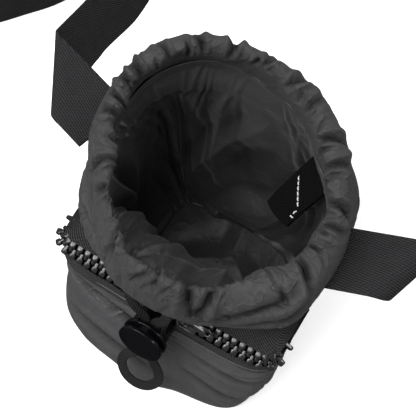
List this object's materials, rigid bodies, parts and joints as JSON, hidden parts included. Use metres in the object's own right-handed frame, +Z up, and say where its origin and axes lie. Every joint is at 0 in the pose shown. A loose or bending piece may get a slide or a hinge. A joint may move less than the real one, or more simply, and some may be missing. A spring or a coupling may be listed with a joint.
{
  "type": "drawstring storage bag",
  "caption": "Small drawstring pouch for rope or gear: zipped front pocket, gathered mouth with push-button cord lock, dark lining and wide webbing shoulder strap.",
  "frame": {"origin": "on the floor under the middle of the pouch's base", "axes": "+Z up through the mouth, -Y towards the zipped pocket and cord lock, +X to the wearer's left with the pocket facing away from the body"},
  "size_m": [0.4063, 0.3621, 0.1843],
  "materials": {
    "nylon": "plain-weave nylon, dark grey, slight sheen",
    "lining": "thin plain lining, near black, soft sheen",
    "tape": "coarse ribbed zip tape, black-grey",
    "teeth": "moulded plastic teeth, glossy black",
    "zip_metal": "die-cast metal, glossy black paint",
    "cord": "flat braided cord, black",
    "lock_plastic": "moulded plastic, glossy black",
    "spring_steel": "bare spring wire",
    "webbing": "ribbed polyester webbing, dark grey",
    "thread": "polyester thread, white"
  },
  "bodies": {
    "bag": {"base_panel": "nylon", "shell_front": "nylon", "shell_back": "nylon", "casing_front": "nylon", "casing_back": "nylon", "lining_front": "lining", "lining_back": "lining", "lining_base": "lining", "pocket_front": "nylon", "gusset_left": "nylon", "gusset_right": "nylon", "zip_tape_upper": "tape", "zip_tape_lower": "tape", "zip_teeth_upper": "teeth", "zip_teeth_lower": "teeth", "zip_stops": "teeth", "drawcord": "cord", "drawcord_in_casing": "cord", "inner_tab": "webbing", "tab_stitches": "thread", "strap_left": "webbing", "strap_turn": "webbing", "strap_run": "webbing", "strap_return": "webbing", "strap_right": "webbing"},
    "lock": {"lock_body": "lock_plastic", "lock_spring": "spring_steel"},
    "button": {"lock_button": "lock_plastic"},
    "left_slider": {"slider_left": "zip_metal"},
    "right_slider": {"slider_right": "zip_metal"},
    "left_pull": {"pull_left": "zip_metal"},
    "right_pull": {"pull_right": "zip_metal"}
  },
  "joints": [
    {"name": "zip_left_slide", "type": "slide", "parent": "bag", "child": "left_slider", "axis": [-1, 0, 0], "range_m": [0, 0.052], "deforming": ["zip_teeth_upper", "zip_teeth_lower"]},
    {"name": "zip_right_slide", "type": "slide", "parent": "bag", "child": "right_slider", "axis": [1, 0, 0], "range_m": [0, 0.028], "deforming": ["zip_teeth_upper", "zip_teeth_lower"]},
    {"name": "pull_left_hinge", "type": "hinge", "parent": "left_slider", "child": "left_pull", "pos_m": [0.0053, -0.0653, 0.09398], "axis": [0, 0.866, 0.5], "range_deg": [0, 15]},
    {"name": "pull_right_hinge", "type": "hinge", "parent": "right_slider", "child": "right_pull", "pos_m": [0.0187, -0.0653, 0.09398], "axis": [0, -0.866, -0.5], "range_deg": [0, 70]},
    {"name": "lock_slide", "type": "slide", "parent": "bag", "child": "lock", "axis": [0, -0.2419, -0.9703], "range_m": [0, 0.012]},
    {"name": "button_press", "type": "slide", "parent": "lock", "child": "button", "axis": [0, 0.9703, -0.2419], "range_m": [0, 0.0029], "stiffness_N_per_m": 800, "springref_m": -0.001, "deforming": ["lock_spring"]}
  ]
}
